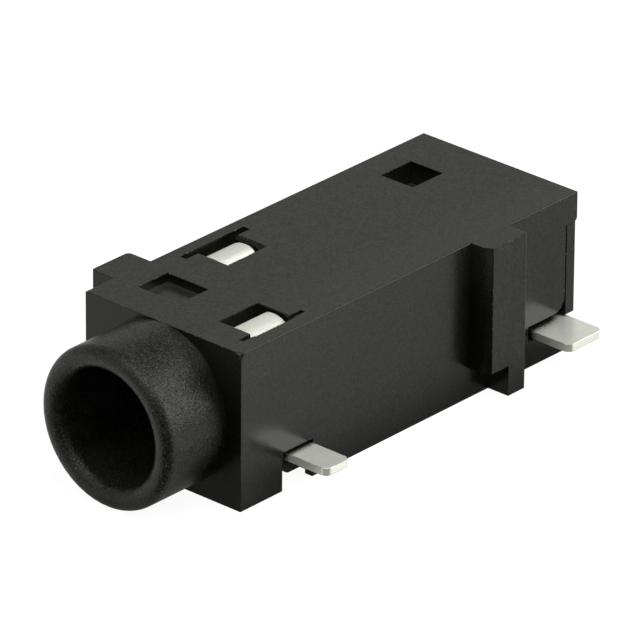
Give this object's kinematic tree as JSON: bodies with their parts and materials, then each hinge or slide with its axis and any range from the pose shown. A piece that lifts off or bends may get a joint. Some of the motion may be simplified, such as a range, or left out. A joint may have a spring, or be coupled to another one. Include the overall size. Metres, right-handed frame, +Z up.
{
  "type": "audio jack socket",
  "caption": "Board-mounted audio jack socket sunk through a board cut-out, with a round barrel, side lugs, flat solder pads and sprung contacts seen through windows in its roof.",
  "frame": {"origin": "on the plug axis, in the plane of the body's front face", "axes": "+Y along the plug axis from the front face to the rear, +X to the right seen from the front, +Z up"},
  "size_m": [0.009, 0.0171, 0.005],
  "materials": {
    "black_plastic": "fine-grained matte black moulding",
    "tinned_brass": "bright tin plate on brass strip"
  },
  "bodies": {
    "root": {"housing": "black_plastic", "rear_cover": "black_plastic", "sleeve_contact": "tinned_brass", "ring_contact": "tinned_brass", "tip_contact": "tinned_brass"}
  },
  "joints": []
}
